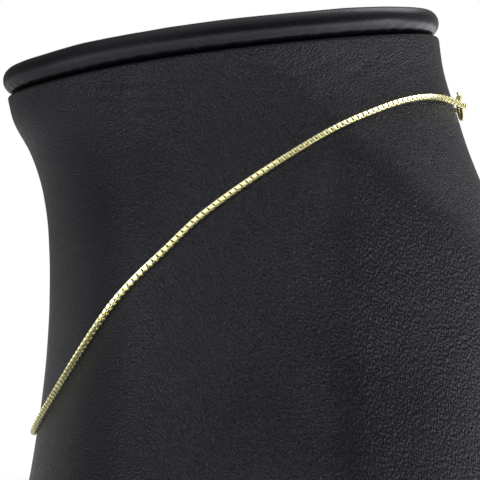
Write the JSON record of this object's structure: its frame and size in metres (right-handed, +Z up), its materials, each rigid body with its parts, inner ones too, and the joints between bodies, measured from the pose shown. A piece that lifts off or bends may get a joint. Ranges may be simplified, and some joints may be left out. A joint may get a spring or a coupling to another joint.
{
  "type": "box chain necklace on a neck bust",
  "caption": "Yellow gold box chain necklace with a spring ring clasp, laid round a neck bust covered in black leatherette.",
  "frame": {"origin": "middle of the bust's flat base, on the surface that it stands on", "axes": "+Z up, -Y the way the bust's chest faces, +Y its nape with the clasp, +X the side that the picture shows"},
  "size_m": [0.1764, 0.1573, 0.214],
  "materials": {
    "leatherette": "satin",
    "yellow_gold": "polished"
  },
  "bodies": {
    "display": {"bust_body": "leatherette", "bust_cap": "leatherette", "chain": "yellow_gold", "hook_ring": "yellow_gold", "end_ring": "yellow_gold", "clasp_ring": "yellow_gold"},
    "bolt": {"clasp_bolt": "yellow_gold"}
  },
  "joints": [
    {"name": "bolt_slide", "type": "hinge", "parent": "display", "child": "bolt", "pos_m": [0, 0.0619, 0.18706], "axis": [0, -0.9903, -0.1392], "range_deg": [0, 46], "stiffness_Nm_per_rad": 0.002, "springref_deg": -11.46}
  ]
}
